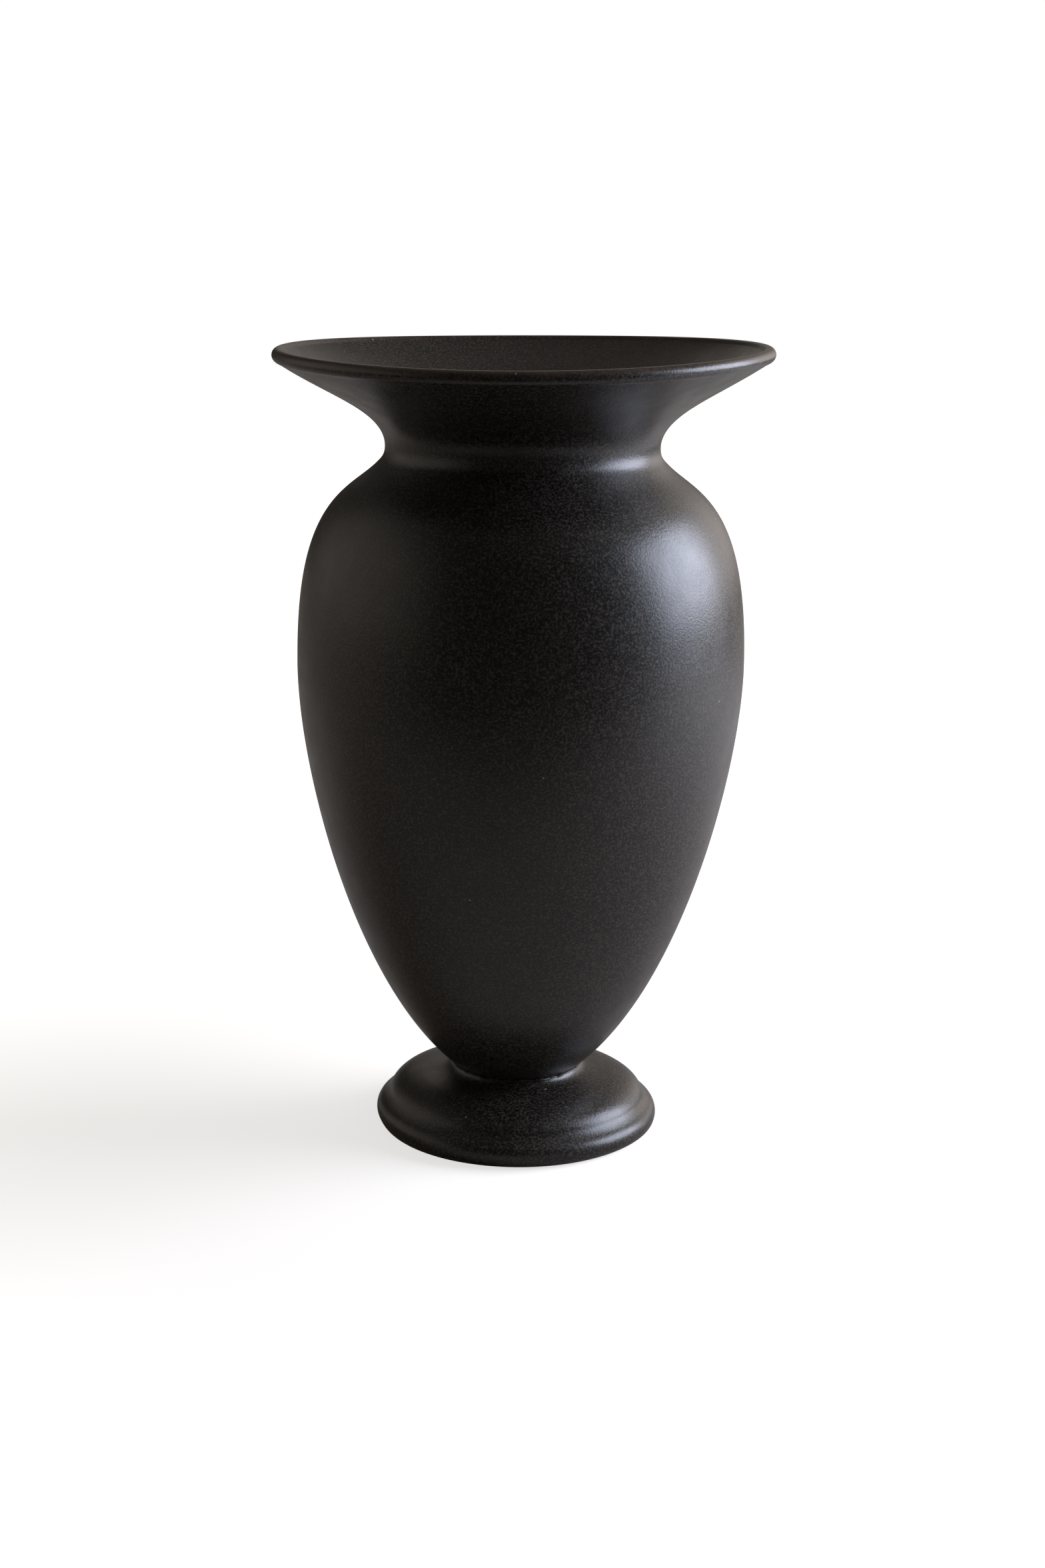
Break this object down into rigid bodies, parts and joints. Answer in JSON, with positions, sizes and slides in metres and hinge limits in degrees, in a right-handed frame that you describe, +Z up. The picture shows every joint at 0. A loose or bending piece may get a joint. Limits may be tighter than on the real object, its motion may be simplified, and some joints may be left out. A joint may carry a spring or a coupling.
{
  "type": "stoneware vase",
  "caption": "Ovoid footed vase in satin black stoneware, with a short neck, a wide flared mouth with a rolled lip, and a low stepped pedestal foot.",
  "frame": {"origin": "centre of the foot ring, on the surface that the vase stands on", "axes": "+Z up along the axis the vase was turned about, -Y towards the front"},
  "size_m": [0.185, 0.185, 0.3],
  "materials": {
    "satin_black_glaze": "satin black iron glaze, fine-grained, brown where it thins over an edge",
    "glazed_slip": "satin glaze over a luted clay joint"
  },
  "bodies": {
    "root": {"foot": "satin_black_glaze", "foot_joint_slip": "glazed_slip", "body": "satin_black_glaze", "collar_joint_slip": "glazed_slip", "collar": "satin_black_glaze"}
  },
  "joints": []
}
